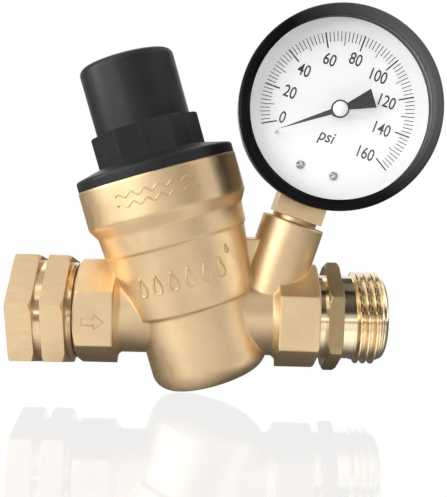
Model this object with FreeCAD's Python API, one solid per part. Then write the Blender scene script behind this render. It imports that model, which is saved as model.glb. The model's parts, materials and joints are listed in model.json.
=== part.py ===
import FreeCAD, Part

import math
import os

from FreeCAD import Placement, Rotation, Vector

# Water pressure regulator with a dial gauge for a 3/4 in garden hose line.
# All sizes in mm. The origin is the centre of the inlet mouth, +X is the way
# the water flows along the pipe axis, +Z is up and the dial faces -Y.

# --- where the three slanting axes start and how they lean ---
BELL_X = 52.0
BELL_LEAN = -17.0
BOSS_X = 71.0
BOSS_LEAN = 17.3
DIAL_HEIGHT = 62.0

# --- pipe line: places along X ---
NUT_END = 17.4
LEFT_HEX = (17.8, 28.9)
RIGHT_HEX = (75.4, 86.9)
SHOULDER_LENGTH = 1.5
OUTLET_FLANGE = (89.0, 93.3)
OUTLET_END = 106.4
LEAD_IN = 1.4
OUTLET_MOUTH_RADIUS = 9.8
NECK_RADIUS = 11.75
BODY_HEX_FLATS = 26.6
BODY_HEX_BEVEL = 0.9
FLANGE_HEX_FLATS = 27.9
FLANGE_BEVELS = (1.4, 0.9)
WATERWAY_RADIUS = 8.0
INLET_PASSAGE_RADIUS = 5.0
OUTLET_PASSAGE_RADIUS = 4.5

# --- 3/4 in garden hose thread ---
THREAD_PITCH = 2.209
THREAD_TURNS = 4
MALE_CREST = 13.49
MALE_ROOT = 12.1
MALE_FIRST_CREST = 97.76
FEMALE_CREST = 12.4
FEMALE_ROOT = 13.6
FEMALE_FIRST_CREST = 0.68
CREST_WIDTH = 0.45
RIDGE_WIDTH = 1.9

# --- swivel nut and what it clamps ---
NUT_HEX_FLATS = 30.2
NUT_TURN = 16.5
NUT_GROOVE = (7.1, 9.4)
NUT_GROOVE_RADIUS = 14.45
NUT_HEX_END = 15.8
NUT_BEVEL = 1.2
NUT_NOSE_RADIUS = 13.6
NUT_CAVITY_RADIUS = 13.0
NUT_SHOULDER = 15.1
TAIL_RADIUS = 10.0
TAIL_FLANGE_RADIUS = 12.7
WASHER = (9.5, 12.7)
SCREEN_THICKNESS = 0.5
SCREEN_RADIUS = 11.0
SCREEN_HOLE_RADIUS = 0.55
SCREEN_PITCH = 1.6
TAIL_BORE_RADIUS = 7.4

# --- sockets bored into the two ends of the body ---
INLET_SOCKET_END = 28.0
OUTLET_SOCKET_START = 77.0
OUTLET_SOCKET_RADIUS = 9.5
SEAL_THICKNESS = 1.0

# --- bell of the body, as heights along its own axis ---
CUP_BOTTOM = -19.3
CUP_RADIUS = 17.3
CUP_ROUNDING = 5.5
CONE_LOW = (18.6, 3.6)
CONE_HIGH = (20.6, 22.3)
LOWER_BAND = (21.2, 22.9)
COVE = (21.5, 28.4)
UPPER_BAND = (23.4, 31.7)
BELL_RIM_RADIUS = 23.3
BELL_TOP = 42.85
BONNET_BORE_RADIUS = 21.0
BONNET_SEAT = 34.0
PISTON_BORE_RADIUS = 17.5
PISTON_STOP = 20.0
OUTLET_CHAMBER_RADIUS = 13.0
SEAT_WALL = (1.0, 6.0)
SEAT_BORE_RADIUS = 7.5
INLET_CHAMBER_RADIUS = 11.5
INLET_CHAMBER_FLOOR = -10.8
GUIDE_FLOOR = -16.8
STEM_RADIUS = 2.5
SEAT_LIP = -0.2
VALVE_OPENING = 2.9
SEAT_FLANGE_RADIUS = 9.6
SEAT_FLANGE_TOP = 7.8
SEAT_HOLE_RADIUS = 5.2
DISC_RADIUS = 6.6
DISC_THICKNESS = 2.0
HOLDER_RADIUS = 7.2
STEM_NUT = (8.0, 2.8)
STEM_TOP_RADIUS = 3.2
ORING_GROOVE = (22.4, 25.0)
ORING_GROOVE_DEPTH = 2.2
ORING_CORD_RADIUS = 1.08
PISTON_HUB_RADIUS = 6.3

# --- bonnet, spring and adjuster ---
RIM_RADIUS = 23.1
RIM_TOP = 45.7
SPRING_BORE_RADIUS = 11.6
BONNET_HEX_FLATS = 27.3
BONNET_HEX = (47.8, 56.8)
BONNET_HEX_TURN = 2.0
TOWER_RADIUS = 13.7
TOWER_TOP = 76.5
SCREW_BORE_START = 64.5
SCREW_RADIUS = 5.95
SPRING_COIL_RADIUS = 8.8
SPRING_WIRE_RADIUS = 1.5
SPRING_TURNS = 5.5
PISTON_HEAD = (20.3, 27.0)
SPRING_SEAT = (61.6, 64.2)
SPRING_SEAT_RADIUS = 10.6
SPRING_PILOT = (6.6, 2.2)
BONNET_ORING_CORD_RADIUS = 0.74
SCREW_SLOT = (0.8, 2.2)

# --- gauge socket and boss, as heights along the boss axis ---
BOSS_RADIUS = 9.2
BOSS_TOP = 29.1
BOSS_FOOT = -4.0
BOSS_THREAD_FLOOR = 15.0
WEB_TOP = 22.7
WEB_HALF_WIDTH = 4.5
BOSS_THREAD_RADIUS = 6.6
GAUGE_PORT_RADIUS = 2.0
SOCKET_BOTTOM = 16.5
SOCKET_SQUARE = 14.0
SOCKET_SQUARE_START = 30.4
SOCKET_TOP = -18.0
SOCKET_PORT_REACH = 3.5

# --- gauge head: depths towards the viewer from the boss axis ---
CASE_BACK = -9.4
CASE_RIM = 15.4
CASE_RADIUS = 26.6
CASE_WALL = 0.8
BEZEL_BACK = 9.0
BEZEL_FRONT = 17.9
BEZEL_RADIUS = 27.4
WINDOW_RADIUS = 24.3
LENS = (16.0, 17.3)
DIAL = (10.6, 11.1)
DIAL_RADIUS = 25.0
BACK_PLATE = (4.0, 4.8)
FRONT_PLATE = (9.0, 9.8)
POINTER = (14.5, 14.85)
POINTER_REST = 216.6
POINTER_LENGTH = 17.8
HUB_RADIUS = 2.47
STOP_PIN_RADIUS = 0.4
DIAL_SCREW_RADIUS = 0.8
DIAL_SCREW_PLACES = [Vector(-4.8, -17.3, 0), Vector(4.8, -17.3, 0)]
TUBE_RADIUS = 20.5
TUBE_SECTION = (2.2, 7.0)
TUBE_START = -68.0
TUBE_END = 196.0

# --- gauge movement ---
MODULE = 0.3
PINION_TEETH = 12
SECTOR_TEETH = 72
GEAR_LAYER = (6.2, 7.4)
LINK_LAYER = (5.2, 6.0)
GEAR_DISTANCE = MODULE * (PINION_TEETH + SECTOR_TEETH) / 2
SECTOR_PIVOT = Vector(0, -GEAR_DISTANCE, 0)
TAIL_LENGTH = 6.0
TAIL_ANGLE = 125.0
LINK_LENGTH = 10.5
LINK_ANGLE = 184.0
LINK_PIN_RADIUS = 0.5
LINK_PIN_END = 7.0
LINK_FREE_PLAY = 0.45
SHAFT_RADIUS = 0.6
ARBOR_RADIUS = 0.75
RUNNING_GAP = 0.05

Z_AXIS = Vector(0, 0, 1)


# --- drawing helpers ---------------------------------------------------------
def outline(corners):
    """A closed wire in the XZ plane from (radius, height) corners, a third number rounding one off."""
    spans = []
    for index, corner in enumerate(corners):
        here = Vector(corner[0], 0, corner[1])
        if len(corner) == 2:
            spans.append((here, None, here))
            continue
        before = corners[index - 1]
        after = corners[(index + 1) % len(corners)]
        to_before = (Vector(before[0], 0, before[1]) - here).normalize()
        to_after = (Vector(after[0], 0, after[1]) - here).normalize()
        half_angle = to_before.getAngle(to_after) / 2
        reach = corner[2] / math.tan(half_angle)
        inward = (to_before + to_after).normalize()
        middle = here + inward * (corner[2] / math.sin(half_angle) - corner[2])
        spans.append((here + to_before * reach, middle, here + to_after * reach))
    edges = []
    for index, (start, middle, end) in enumerate(spans):
        if middle is not None:
            edges.append(Part.Arc(start, middle, end).toShape())
        following = spans[(index + 1) % len(spans)][0]
        if end != following:
            edges.append(Part.LineSegment(end, following).toShape())
    return Part.Wire(edges)


def turned(corners, sweep=360):
    """A lathe part about Z from an outline of (radius, height) corners."""
    return Part.Face(outline(corners)).revolve(Vector(0, 0, 0), Z_AXIS, sweep)


def cylinder(radius, low, high, at=Vector(0, 0, 0)):
    return Part.makeCylinder(radius, high - low, at + Vector(0, 0, low))


def ring(outer, inner, low, high):
    return cylinder(outer, low, high).cut(cylinder(inner, low, high))


def block(low, high):
    return Part.makeBox(high[0] - low[0], high[1] - low[1], high[2] - low[2], Vector(*low))


def plate(points, low, high):
    """A flat plate with the given corners in the XY plane."""
    corners = [Vector(x, y, low) for x, y in points]
    return Part.Face(Part.makePolygon(corners + corners[:1])).extrude(Vector(0, 0, high - low))


def polar(radius, angle, centre=Vector(0, 0, 0)):
    turn = math.radians(angle)
    return centre + Vector(radius * math.cos(turn), radius * math.sin(turn), 0)


def hexagon(flats, low, high, turn=0, low_bevel=0, high_bevel=0):
    """A hexagonal prism about Z; a bevel is how far a 30 degree chamfer reaches in from the corners."""
    corner_radius = flats / math.sqrt(3)
    corners = [polar(corner_radius, turn + 60 * side) for side in range(6)]
    prism = plate([(p.x, p.y) for p in corners], low, high)
    slope = math.tan(math.radians(30))
    envelope = turned([
        (0, low), (corner_radius - low_bevel, low), (corner_radius, low + low_bevel * slope),
        (corner_radius, high - high_bevel * slope), (corner_radius - high_bevel, high), (0, high),
    ])
    return prism.common(envelope)


def moved(shape, placement):
    copy = shape.copy()
    copy.Placement = placement.multiply(copy.Placement)
    return copy


def on_pipe(shape):
    """Lays a part that was drawn about Z along the pipe, its heights becoming X."""
    return moved(shape, Placement(Vector(0, 0, 0), Rotation(Vector(0, 1, 0), 90)))


def on_bell(shape):
    return moved(shape, Placement(Vector(BELL_X, 0, 0), Rotation(Vector(0, 1, 0), BELL_LEAN)))


def on_boss(shape):
    return moved(shape, Placement(Vector(BOSS_X, 0, 0), Rotation(Vector(0, 1, 0), BOSS_LEAN)))


def on_dial(shape):
    """Places a gauge part drawn with X right, Y up and Z towards the viewer of the dial."""
    upright = Placement(Vector(0, 0, DIAL_HEIGHT), Rotation(Vector(1, 0, 0), 90))
    return on_boss(moved(shape, upright))


def thread_ridge(crest, root, middle):
    half_root = RIDGE_WIDTH / 2
    half_crest = CREST_WIDTH / 2
    inside = root + (0.3 if root > crest else -0.3)
    return turned([
        (inside, middle - half_root), (root, middle - half_root), (crest, middle - half_crest),
        (crest, middle + half_crest), (root, middle + half_root), (inside, middle + half_root),
    ])


def fuse_all(shapes):
    return shapes[0].multiFuse(shapes[1:]).removeSplitter()


def cut_all(shape, tools):
    for tool in tools:
        shape = shape.cut(tool)
    return shape


def save(name, shape):
    solids = shape.Solids
    Part.makeCompound(solids).exportStep(f"parts/{name}.step")
    print(f"{name:22s} solids {len(solids):2d} volume {shape.Volume:10.2f} valid {shape.isValid()}")


# --- body --------------------------------------------------------------------
def make_bell():
    """The leaning bell: rounded cup, cone, two bands under the bonnet."""
    return turned([
        (0, CUP_BOTTOM), (CUP_RADIUS, CUP_BOTTOM, CUP_ROUNDING), (CUP_RADIUS, CONE_LOW[1] - 0.6, 0.6),
        (*CONE_LOW, 0.5), (*CONE_HIGH, 0.4), (*LOWER_BAND, 0.4), (*COVE, 1.5), (*UPPER_BAND, 2.0),
        (BELL_RIM_RADIUS, BELL_TOP, 0.4), (0, BELL_TOP),
    ])


def make_bell_cavity():
    return fuse_all([
        cylinder(STEM_RADIUS + RUNNING_GAP, GUIDE_FLOOR, 0),
        cylinder(INLET_CHAMBER_RADIUS, INLET_CHAMBER_FLOOR, SEAT_WALL[0]),
        cylinder(SEAT_BORE_RADIUS, SEAT_WALL[0], SEAT_WALL[1]),
        cylinder(OUTLET_CHAMBER_RADIUS, SEAT_WALL[1], PISTON_STOP),
        cylinder(PISTON_BORE_RADIUS, PISTON_STOP, BONNET_SEAT),
        cylinder(BONNET_BORE_RADIUS, BONNET_SEAT, BELL_TOP),
    ])


def slanted_bore(radius, start, end):
    """A drilled passage between two (x, z) points of the pipe's middle plane."""
    foot = Vector(start[0], 0, start[1])
    along = Vector(end[0], 0, end[1]) - foot
    return Part.makeCylinder(radius, along.Length, foot, along)


def make_valve_body():
    neck_edge = BODY_HEX_FLATS * 0.49
    left_hex = hexagon(BODY_HEX_FLATS, *LEFT_HEX, low_bevel=2 * BODY_HEX_BEVEL)
    right_hex = hexagon(BODY_HEX_FLATS, *RIGHT_HEX, high_bevel=BODY_HEX_BEVEL)
    left_shoulder = turned([
        (0, LEFT_HEX[1]), (neck_edge, LEFT_HEX[1]), (NECK_RADIUS, LEFT_HEX[1] + SHOULDER_LENGTH),
        (NECK_RADIUS, BELL_X), (0, BELL_X),
    ])
    right_shoulder = turned([
        (0, BELL_X), (NECK_RADIUS, BELL_X), (NECK_RADIUS, RIGHT_HEX[0] - SHOULDER_LENGTH),
        (neck_edge, RIGHT_HEX[0]), (0, RIGHT_HEX[0]),
    ])
    boss = turned([(0, BOSS_FOOT), (BOSS_RADIUS, BOSS_FOOT), (BOSS_RADIUS, BOSS_TOP, 0.5), (0, BOSS_TOP)])
    web = block((BELL_X + 9, -WEB_HALF_WIDTH, 6), (BOSS_X + 4, WEB_HALF_WIDTH, WEB_TOP))
    outside = fuse_all([
        on_bell(make_bell()), on_pipe(left_hex), on_pipe(right_hex),
        on_pipe(left_shoulder), on_pipe(right_shoulder), on_boss(boss), web,
    ])
    inlet_bend = BELL_X - 23.0
    outlet_bend = BELL_X + 24.0
    outlet_bore_start = outlet_bend - 3.5
    hollows = [
        on_bell(make_bell_cavity()),
        on_pipe(cylinder(TAIL_RADIUS, LEFT_HEX[0], INLET_SOCKET_END)),
        on_pipe(cylinder(WATERWAY_RADIUS, INLET_SOCKET_END, inlet_bend + 2)),
        slanted_bore(INLET_PASSAGE_RADIUS, (inlet_bend - 2, 0.6), (BELL_X - 7.0, -9.4)),
        on_pipe(cylinder(OUTLET_SOCKET_RADIUS, OUTLET_SOCKET_START, RIGHT_HEX[1])),
        on_pipe(cylinder(WATERWAY_RADIUS, outlet_bore_start, OUTLET_SOCKET_START)),
        slanted_bore(OUTLET_PASSAGE_RADIUS, (outlet_bend, 1.0), (BELL_X + 7.0, 14.7)),
        on_boss(cylinder(BOSS_THREAD_RADIUS, BOSS_THREAD_FLOOR, BOSS_TOP)),
        on_boss(cylinder(GAUGE_PORT_RADIUS, 4.0, BOSS_THREAD_FLOOR)),
    ]
    save("valve_body", cut_all(outside, hollows))


# --- inlet -------------------------------------------------------------------
def make_swivel_nut():
    first_hex = hexagon(NUT_HEX_FLATS, 0, NUT_GROOVE[0], NUT_TURN, 0.4, NUT_BEVEL)
    second_hex = hexagon(NUT_HEX_FLATS, NUT_GROOVE[1], NUT_HEX_END, NUT_TURN, 0.8, NUT_BEVEL)
    nose = turned([
        (0, NUT_HEX_END), (NUT_GROOVE_RADIUS, NUT_HEX_END, 0.5), (NUT_NOSE_RADIUS, NUT_END), (0, NUT_END),
    ])
    outside = fuse_all([first_hex, cylinder(NUT_GROOVE_RADIUS, *NUT_GROOVE), second_hex, nose])
    thread_end = FEMALE_FIRST_CREST + THREAD_PITCH * THREAD_TURNS - 0.6
    hollow = fuse_all([
        cylinder(FEMALE_ROOT, 0, thread_end),
        cylinder(NUT_CAVITY_RADIUS, 0, NUT_SHOULDER),
        cylinder(TAIL_RADIUS + RUNNING_GAP, 0, NUT_END),
    ])
    ridges = [
        thread_ridge(FEMALE_CREST, FEMALE_ROOT, FEMALE_FIRST_CREST + THREAD_PITCH * turn)
        for turn in range(THREAD_TURNS)
    ]
    mouth = cylinder(FEMALE_ROOT + 1, -3, 0)
    save("swivel_nut", on_pipe(outside.cut(hollow).multiFuse(ridges).cut(mouth)))


def make_inlet_pieces():
    screen_end = WASHER[1] + SCREEN_THICKNESS
    save("inlet_washer", on_pipe(ring(TAIL_FLANGE_RADIUS, WATERWAY_RADIUS, *WASHER)))
    screen = cylinder(SCREEN_RADIUS, WASHER[1], screen_end)
    reach = int(WATERWAY_RADIUS / SCREEN_PITCH)
    holes = []
    for row in range(-reach, reach + 1):
        for column in range(-reach, reach + 1):
            place = Vector(column * SCREEN_PITCH, row * SCREEN_PITCH, 0)
            if place.Length < WATERWAY_RADIUS - 2 * SCREEN_HOLE_RADIUS:
                holes.append(cylinder(SCREEN_HOLE_RADIUS, WASHER[1], screen_end, place))
    save("inlet_screen", on_pipe(screen.cut(Part.makeCompound(holes))))
    tail_end = INLET_SOCKET_END - SEAL_THICKNESS
    flange_end = NUT_SHOULDER - 2 * RUNNING_GAP
    tailpiece = turned([
        (TAIL_BORE_RADIUS, screen_end), (TAIL_FLANGE_RADIUS, screen_end), (TAIL_FLANGE_RADIUS, flange_end),
        (TAIL_RADIUS, flange_end), (TAIL_RADIUS, tail_end), (TAIL_BORE_RADIUS, tail_end),
    ])
    save("inlet_tailpiece", on_pipe(tailpiece))
    save("inlet_seal", on_pipe(ring(TAIL_RADIUS, WATERWAY_RADIUS, tail_end, INLET_SOCKET_END)))


# --- outlet ------------------------------------------------------------------
def make_outlet_pieces():
    adapter_start = OUTLET_SOCKET_START + SEAL_THICKNESS
    flange = hexagon(FLANGE_HEX_FLATS, *OUTLET_FLANGE, 0, *FLANGE_BEVELS)
    barrel = turned([
        (0, adapter_start), (OUTLET_SOCKET_RADIUS, adapter_start), (OUTLET_SOCKET_RADIUS, RIGHT_HEX[1]),
        (MALE_ROOT, RIGHT_HEX[1]), (MALE_ROOT, OUTLET_END, LEAD_IN), (0, OUTLET_END),
    ])
    ridges = [
        thread_ridge(MALE_CREST, MALE_ROOT, MALE_FIRST_CREST + THREAD_PITCH * turn)
        for turn in range(THREAD_TURNS)
    ]
    mouth = turned([
        (0, adapter_start), (WATERWAY_RADIUS, adapter_start), (WATERWAY_RADIUS, OUTLET_END - LEAD_IN),
        (OUTLET_MOUTH_RADIUS, OUTLET_END), (0, OUTLET_END),
    ])
    save("outlet_adapter", on_pipe(fuse_all([flange, barrel] + ridges).cut(mouth)))
    seal = ring(OUTLET_SOCKET_RADIUS, WATERWAY_RADIUS, OUTLET_SOCKET_START, adapter_start)
    save("outlet_seal", on_pipe(seal))


# --- valve inside the bell ---------------------------------------------------
def make_valve_pieces():
    seat = turned([
        (SEAT_HOLE_RADIUS, SEAT_LIP), (SEAT_HOLE_RADIUS + 0.6, SEAT_LIP),
        (SEAT_HOLE_RADIUS + 1.4, SEAT_WALL[0]), (SEAT_BORE_RADIUS, SEAT_WALL[0]),
        (SEAT_BORE_RADIUS, SEAT_WALL[1]), (SEAT_FLANGE_RADIUS, SEAT_WALL[1]),
        (SEAT_FLANGE_RADIUS, SEAT_FLANGE_TOP), (SEAT_HOLE_RADIUS, SEAT_FLANGE_TOP),
    ])
    save("seat_insert", on_bell(seat))

    disc_top = SEAT_LIP - VALVE_OPENING
    disc_bottom = disc_top - DISC_THICKNESS
    disc_middle = disc_top - DISC_THICKNESS / 2
    holder_bottom = disc_bottom - 1.5
    nut_flats, nut_height = STEM_NUT
    nut_bottom = holder_bottom - nut_height
    save("valve_disc", on_bell(ring(DISC_RADIUS, STEM_RADIUS, disc_bottom, disc_top)))
    holder = turned([
        (STEM_RADIUS, holder_bottom), (HOLDER_RADIUS, holder_bottom), (HOLDER_RADIUS, disc_middle),
        (DISC_RADIUS, disc_middle), (DISC_RADIUS, disc_bottom), (STEM_RADIUS, disc_bottom),
    ])
    save("disc_holder", on_bell(holder))
    stem_nut = hexagon(nut_flats, nut_bottom, holder_bottom, low_bevel=0.6)
    save("disc_nut", on_bell(stem_nut.cut(cylinder(STEM_RADIUS, nut_bottom, holder_bottom))))
    stem_bottom = GUIDE_FLOOR + 0.7
    hub_top = PISTON_HEAD[1] + 3
    stem = turned([
        (0, stem_bottom), (STEM_RADIUS, stem_bottom), (STEM_RADIUS, disc_top),
        (STEM_TOP_RADIUS, disc_top), (STEM_TOP_RADIUS, PISTON_HEAD[0]), (STEM_RADIUS, PISTON_HEAD[0]),
        (STEM_RADIUS, hub_top), (0, hub_top),
    ])
    save("valve_stem", on_bell(stem))

    crown = PISTON_BORE_RADIUS - RUNNING_GAP
    groove_radius = crown - ORING_GROOVE_DEPTH
    head = turned([
        (STEM_RADIUS, PISTON_HEAD[0]), (crown, PISTON_HEAD[0]), (crown, ORING_GROOVE[0]),
        (groove_radius, ORING_GROOVE[0]), (groove_radius, ORING_GROOVE[1]), (crown, ORING_GROOVE[1]),
        (crown, PISTON_HEAD[1]), (PISTON_HUB_RADIUS, PISTON_HEAD[1]), (PISTON_HUB_RADIUS, hub_top),
        (STEM_RADIUS, hub_top),
    ])
    save("piston", on_bell(head))
    groove_middle = Vector(0, 0, sum(ORING_GROOVE) / 2)
    oring = Part.makeTorus(crown - ORING_CORD_RADIUS, ORING_CORD_RADIUS, groove_middle)
    save("piston_oring", on_bell(oring))


# --- bonnet, spring and adjuster ---------------------------------------------
def make_bonnet_pieces():
    skirt = BONNET_SEAT + 1.5
    skirt_radius = BONNET_BORE_RADIUS - RUNNING_GAP
    hex_low, hex_high = BONNET_HEX
    shell = turned([
        (0, skirt), (skirt_radius, skirt), (skirt_radius, BELL_TOP), (RIM_RADIUS, BELL_TOP),
        (RIM_RADIUS, RIM_TOP, 0.9), (TOWER_RADIUS + 1.2, hex_low), (TOWER_RADIUS, hex_low),
        (TOWER_RADIUS, TOWER_TOP - 0.5, 2.0), (0, TOWER_TOP),
    ])
    grip = hexagon(BONNET_HEX_FLATS, hex_low - 1.5, hex_high, BONNET_HEX_TURN, high_bevel=0.6)
    hollow = fuse_all([
        cylinder(SPRING_BORE_RADIUS, skirt, SCREW_BORE_START),
        cylinder(SCREW_RADIUS + RUNNING_GAP, skirt, TOWER_TOP + 1),
    ])
    save("bonnet", on_bell(shell.fuse(grip).removeSplitter().cut(hollow)))
    seal_radius = (BONNET_BORE_RADIUS + PISTON_BORE_RADIUS) / 2
    seal_middle = Vector(0, 0, (BONNET_SEAT + skirt) / 2)
    save("bonnet_oring", on_bell(Part.makeTorus(seal_radius, BONNET_ORING_CORD_RADIUS, seal_middle)))

    end_gap = SPRING_WIRE_RADIUS + 2 * RUNNING_GAP
    low = PISTON_HEAD[1] + end_gap
    high = SPRING_SEAT[0] - end_gap
    helix = Part.makeHelix((high - low) / SPRING_TURNS, high - low, SPRING_COIL_RADIUS)
    helix.translate(Vector(0, 0, low))
    start = Vector(SPRING_COIL_RADIUS, 0, low)
    wire_section = Part.Wire(Part.makeCircle(SPRING_WIRE_RADIUS, start, Vector(0, 1, 0)))
    save("range_spring", on_bell(Part.Wire(helix).makePipeShell([wire_section], True, True)))

    pilot_radius, pilot_length = SPRING_PILOT
    seat_low, seat_high = SPRING_SEAT
    seat = turned([
        (0, seat_low - pilot_length), (pilot_radius, seat_low - pilot_length), (pilot_radius, seat_low),
        (SPRING_SEAT_RADIUS, seat_low), (SPRING_SEAT_RADIUS, seat_high - 0.6),
        (SPRING_SEAT_RADIUS - 2.6, seat_high), (0, seat_high),
    ])
    save("spring_seat", on_bell(seat))
    screw_foot = seat_high + 2 * RUNNING_GAP
    screw_top = TOWER_TOP - 1.6
    screw = turned([
        (0, screw_foot), (SCREW_RADIUS - 1, screw_foot), (SCREW_RADIUS, screw_foot + 1),
        (SCREW_RADIUS, screw_top, 0.4), (0, screw_top),
    ])
    slot_half, slot_depth = SCREW_SLOT
    slot = block((-SCREW_RADIUS, -slot_half, screw_top - slot_depth), (SCREW_RADIUS, slot_half, screw_top))
    save("adjusting_screw", on_bell(screw.cut(slot)))


# --- gauge -------------------------------------------------------------------
def make_gauge_socket():
    """Pipe stem screwed into the boss, square shank and the block inside the case."""
    stem_low = SOCKET_BOTTOM - DIAL_HEIGHT
    square_low = SOCKET_SQUARE_START - DIAL_HEIGHT
    half = SOCKET_SQUARE / 2
    upwards = Vector(0, 1, 0)
    foot = Vector(0, stem_low, 0)
    stem = Part.makeCylinder(BOSS_THREAD_RADIUS, square_low - stem_low, foot, upwards)
    shank = block((-half, square_low, -half), (half, 2 - CASE_RADIUS, half))
    inner = block((-half, 1 - CASE_RADIUS, -half), (half, SOCKET_TOP, BACK_PLATE[0]))
    thickness, depth = TUBE_SECTION
    tube_bed = ring(TUBE_RADIUS + thickness / 2, TUBE_RADIUS - thickness / 2, -depth / 2, depth / 2)
    passage = Part.makeCylinder(1.2, TUBE_RADIUS + SOCKET_PORT_REACH, foot, upwards)
    return cut_all(fuse_all([stem, shank, inner]), [tube_bed, passage])


def make_gauge_shell():
    socket = make_gauge_socket()
    save("gauge_socket", on_dial(socket))
    case = turned([
        (0, CASE_BACK), (CASE_RADIUS, CASE_BACK, 1.6), (CASE_RADIUS, CASE_RIM),
        (CASE_RADIUS - CASE_WALL, CASE_RIM), (CASE_RADIUS - CASE_WALL, CASE_BACK + CASE_WALL, CASE_WALL),
        (0, CASE_BACK + CASE_WALL),
    ])
    half = SOCKET_SQUARE / 2
    doorway = block((-half, -CASE_RADIUS - 1, -half), (half, -20, half))
    save("gauge_case", on_dial(case.cut(doorway)))
    bezel = turned([
        (CASE_RADIUS, BEZEL_BACK), (BEZEL_RADIUS, BEZEL_BACK), (BEZEL_RADIUS, BEZEL_FRONT, 0.9),
        (WINDOW_RADIUS + 0.9, BEZEL_FRONT, 0.3), (WINDOW_RADIUS, LENS[1]), (CASE_RADIUS, LENS[1]),
    ])
    save("gauge_bezel", on_dial(bezel))
    save("lens_gasket", on_dial(ring(CASE_RADIUS, WINDOW_RADIUS + 0.4, CASE_RIM, LENS[0])))
    save("gauge_lens", on_dial(cylinder(CASE_RADIUS, *LENS)))


def make_dial_pieces():
    face = DIAL[1]
    pin_place = polar(POINTER_LENGTH, POINTER_REST + 1.9)
    holes = [cylinder(2.0, *DIAL), cylinder(STOP_PIN_RADIUS, *DIAL, pin_place)]
    screws = []
    head_radius = 1.2
    head_height = 0.6
    for place in DIAL_SCREW_PLACES:
        holes.append(cylinder(DIAL_SCREW_RADIUS, *DIAL, place))
        head = cylinder(head_radius, face, face + head_height, place)
        shank = cylinder(DIAL_SCREW_RADIUS, FRONT_PLATE[0], face, place)
        slot = block((-head_radius, -0.15, face + 0.35), (head_radius, 0.15, face + head_height))
        slot.translate(place)
        screws.append(head.fuse(shank).removeSplitter().cut(slot))
    save("gauge_dial", on_dial(cut_all(cylinder(DIAL_RADIUS, *DIAL), holes)))
    save("dial_screws", on_dial(Part.makeCompound(screws)))
    save("stop_pin", on_dial(cylinder(STOP_PIN_RADIUS, DIAL[0], POINTER[1] + 0.2, pin_place)))


def make_pointer_pieces():
    tip = polar(POINTER_LENGTH, POINTER_REST)
    tail = POINTER_REST + 180
    shape = [
        tip, polar(2.2, POINTER_REST + 20), polar(1.9, tail - 25), polar(9.9, tail - 15.4),
        polar(9.9, tail + 15.4), polar(1.9, tail + 25), polar(2.2, POINTER_REST - 20),
    ]
    blade = plate([(p.x, p.y) for p in shape], *POINTER).fuse(cylinder(2.3, *POINTER)).removeSplitter()
    save("pointer", on_dial(blade.cut(cylinder(SHAFT_RADIUS, *POINTER))))
    hub_top = POINTER[1] + 0.6
    hub = turned([(0, POINTER[1]), (HUB_RADIUS, POINTER[1]), (HUB_RADIUS, hub_top, 0.2), (0, hub_top)])
    save("pointer_hub", on_dial(hub))


def gear_outline(teeth, centre, first_tooth, last_tooth, phase):
    """Points round a run of straight-sided teeth, each slimmer than its gap."""
    pitch_radius = MODULE * teeth / 2
    pitch_angle = 360 / teeth
    points = []
    for tooth in range(first_tooth, last_tooth + 1):
        middle = phase + tooth * pitch_angle
        for share, height in ((-0.26, -1.15), (-0.1, 0.95), (0.1, 0.95), (0.26, -1.15)):
            points.append(polar(pitch_radius + height * MODULE, middle + share * pitch_angle, centre))
    return points


def tapered_bar(start, start_half_width, end, end_half_width, direction, low, high):
    """A flat bar between two pivots, its width changing from one to the other."""
    left = direction + 90
    right = direction - 90
    points = [
        polar(start_half_width, left, start), polar(start_half_width, right, start),
        polar(end_half_width, right, end), polar(end_half_width, left, end),
    ]
    return plate([(p.x, p.y) for p in points], low, high)


def make_movement_gears():
    mesh_angle = 90
    arc = gear_outline(SECTOR_TEETH, SECTOR_PIVOT, -10, 1, mesh_angle)
    hub_side = [polar(2.0, mesh_angle + 40, SECTOR_PIVOT), polar(2.0, mesh_angle - 90, SECTOR_PIVOT)]
    blade = plate([(p.x, p.y) for p in arc + hub_side], *GEAR_LAYER)
    tail_pin = polar(TAIL_LENGTH, TAIL_ANGLE, SECTOR_PIVOT)
    tail_half_width = 1.0
    arm = tapered_bar(SECTOR_PIVOT, 1.6, tail_pin, tail_half_width, TAIL_ANGLE, *GEAR_LAYER)
    sector = fuse_all([
        blade, cylinder(2.4, *GEAR_LAYER, SECTOR_PIVOT), arm,
        cylinder(tail_half_width, *GEAR_LAYER, tail_pin),
        cylinder(LINK_PIN_RADIUS, LINK_LAYER[0], GEAR_LAYER[0], tail_pin),
    ])
    save("sector_gear", on_dial(sector.cut(cylinder(ARBOR_RADIUS, *GEAR_LAYER, SECTOR_PIVOT))))
    save("sector_arbor", on_dial(cylinder(ARBOR_RADIUS, BACK_PLATE[0], FRONT_PLATE[1], SECTOR_PIVOT)))

    half_tooth = 180 / PINION_TEETH
    teeth = gear_outline(PINION_TEETH, Vector(0, 0, 0), 0, PINION_TEETH - 1, mesh_angle + half_tooth)
    pinion = plate([(p.x, p.y) for p in teeth], GEAR_LAYER[0] - 0.1, GEAR_LAYER[1] + 0.1)
    shaft = cylinder(SHAFT_RADIUS, BACK_PLATE[0], POINTER[1])
    save("pinion_shaft", on_dial(pinion.fuse(shaft).removeSplitter()))

    far_end = polar(LINK_LENGTH, LINK_ANGLE, tail_pin)
    bar_half_width = 0.7
    bar = tapered_bar(tail_pin, bar_half_width, far_end, bar_half_width, LINK_ANGLE, *LINK_LAYER)
    link = fuse_all([bar, cylinder(1.2, *LINK_LAYER, tail_pin), cylinder(1.7, *LINK_LAYER, far_end)])
    holes = [
        cylinder(LINK_PIN_RADIUS + RUNNING_GAP, *LINK_LAYER, tail_pin),
        cylinder(LINK_PIN_RADIUS + LINK_FREE_PLAY, *LINK_LAYER, far_end),
    ]
    save("link", on_dial(cut_all(link, holes)))
    return far_end


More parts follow.
